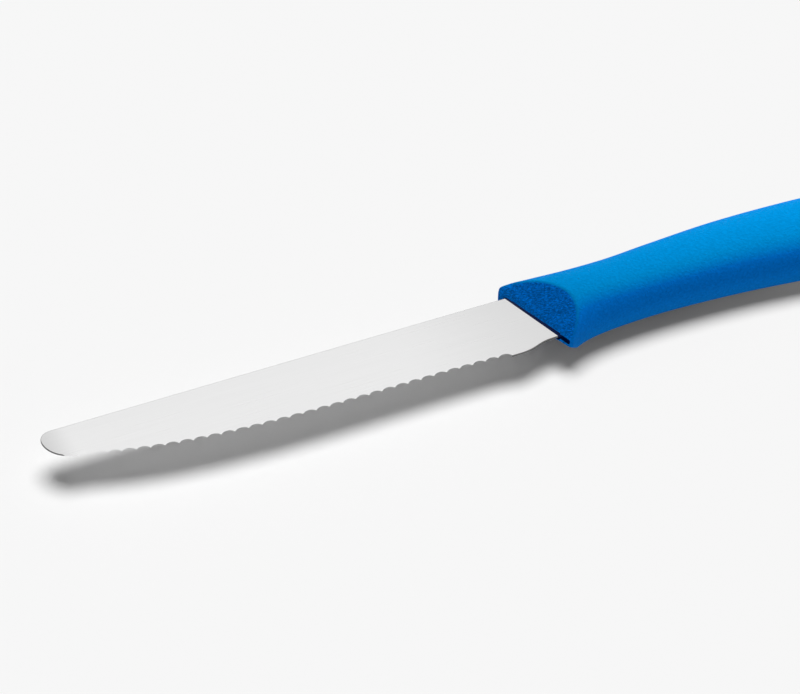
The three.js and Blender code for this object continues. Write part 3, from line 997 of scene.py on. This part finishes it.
def lay_floor(tilt):
    """White paper, plain and without gloss"""
    bpy.ops.mesh.primitive_plane_add(
        size=FLOOR_SIZE * MM, location=(ORIGIN.x + FLOOR_TOUCH * MM, 0, 0), rotation=(0, -tilt, 0))
    bpy.ops.object.transform_apply(location=True, rotation=True, scale=True)
    floor = bpy.context.object
    floor.name = "floor"
    material, tree = new_material("white_paper")
    shader = add_node(tree, "ShaderNodeBsdfDiffuse", {"Color": linear("f2f2f2")})
    add_node(tree, "ShaderNodeOutputMaterial", {"Surface": shader.outputs["BSDF"]})
    floor.data.materials.append(material)
    return floor


def hang_key(power, size):
    """A round lamp over the handle"""
    place = ORIGIN + Vector(mm(*KEY_PLACE))
    aim = Vector(KEY_PLACE) - Vector(KEY_AIM)
    bpy.ops.object.light_add(type="AREA", location=place, rotation=aim.to_track_quat("Z", "Y").to_euler())
    lamp = bpy.context.object
    lamp.name = "knife_light"
    lamp.data.shape = "DISK"
    lamp.data.size = size
    lamp.data.energy = power
    return lamp


def hang_even(strength, spread, lean, side):
    """An even light from above"""
    bpy.ops.object.light_add(type="SUN", location=(0, 0, 1), rotation=(-lean, side, 0))
    lamp = bpy.context.object
    lamp.name = "floor_light"
    lamp.data.angle = spread
    lamp.data.energy = strength
    return lamp


def light_only(lamp, things):
    """Keeps a lamp's light to some objects, and its picture out of the steel"""
    lamp.visible_glossy = False
    group = bpy.data.collections.new("lit_by_" + lamp.name)
    for thing in things:
        group.objects.link(thing)
    lamp.light_linking.receiver_collection = group


def light_room(fill):
    """A soft light from all round, and a pale background for camera, glossy and transmission rays"""
    world = bpy.data.worlds.new("pale_room")
    world.use_nodes = True
    bpy.context.scene.world = world
    tree = world.node_tree
    tree.nodes.clear()
    rays = add_node(tree, "ShaderNodeLightPath", {})
    seen = add_node(tree, "ShaderNodeMath", {
        0: rays.outputs["Is Camera Ray"], 1: rays.outputs["Is Glossy Ray"]}, operation="MAXIMUM")
    shown = add_node(tree, "ShaderNodeMath", {
        0: seen.outputs["Value"], 1: rays.outputs["Is Transmission Ray"]}, operation="MAXIMUM")
    lit = add_node(tree, "ShaderNodeBackground", {"Color": linear("ffffff"), "Strength": fill})
    pale = add_node(tree, "ShaderNodeBackground", {"Color": linear("f7f7f7"), "Strength": 1})
    mixed = add_node(tree, "ShaderNodeMixShader", {
        0: shown.outputs["Value"], 1: lit.outputs["Background"], 2: pale.outputs["Background"]})
    add_node(tree, "ShaderNodeOutputWorld", {"Surface": mixed.outputs["Shader"]})


def place_camera():
    """The photograph's camera: a long lens that looks down on the knife from its edge side"""
    level = math.cos(CAMERA_ELEVATION)
    back = Vector((
        math.sin(CAMERA_AZIMUTH) * level, -math.cos(CAMERA_AZIMUTH) * level, math.sin(CAMERA_ELEVATION)))
    target = Vector(mm(*CAMERA_TARGET)) + ORIGIN
    bpy.ops.object.camera_add(location=target + back * CAMERA_DISTANCE * MM)
    camera = bpy.context.object
    camera.rotation_euler = back.to_track_quat("Z", "Y").to_euler()
    camera.data.sensor_width = SENSOR
    camera.data.lens = FOCAL_PIXELS * SENSOR / IMAGE_WIDTH
    bpy.context.scene.camera = camera


class KNIFE_OT_stage(bpy.types.Operator):
    """Lay the floor, hang the light and place the camera"""

    bl_idname = "knife.stage"
    bl_label = "Stage"

    def execute(self, context):
        settings = context.scene.knife_stage
        deselect()
        floor = lay_floor(settings.floor_tilt)
        key = hang_key(settings.key, settings.key_size)
        even = hang_even(
            settings.floor_light, settings.floor_spread, settings.floor_lean, settings.floor_side)
        light_only(key, [bpy.data.objects[name] for name in (BLADE_NAME, HANDLE_NAME)])
        light_only(even, [floor])
        light_room(settings.fill)
        place_camera()
        context.scene.view_settings.view_transform = "Standard"
        return {"FINISHED"}


GROUPS = {"knife_blade": BladeSettings, "knife_handle": HandleSettings, "knife_stage": StageSettings}
OPERATORS = (KNIFE_OT_blade, KNIFE_OT_handle, KNIFE_OT_stage)


class KNIFE_PT_panel(bpy.types.Panel):
    """Lists the knife's pieces and its stage"""

    bl_label = "Knife"
    bl_idname = "KNIFE_PT_panel"
    bl_space_type = "VIEW_3D"
    bl_region_type = "UI"
    bl_category = "Knife"

    def draw(self, context):
        for operator in OPERATORS:
            self.layout.operator(operator.bl_idname)


CLASSES = (*GROUPS.values(), *OPERATORS, KNIFE_PT_panel)


def register():
    for kind in CLASSES:
        bpy.utils.register_class(kind)
    for name, group in GROUPS.items():
        setattr(bpy.types.Scene, name, PointerProperty(type=group))


def unregister():
    for name in GROUPS:
        delattr(bpy.types.Scene, name)
    for kind in reversed(CLASSES):
        bpy.utils.unregister_class(kind)


def main():
    register()
    bpy.ops.knife.blade()
    bpy.ops.knife.handle()
    bpy.ops.knife.stage()


if __name__ == "__main__":
    main()
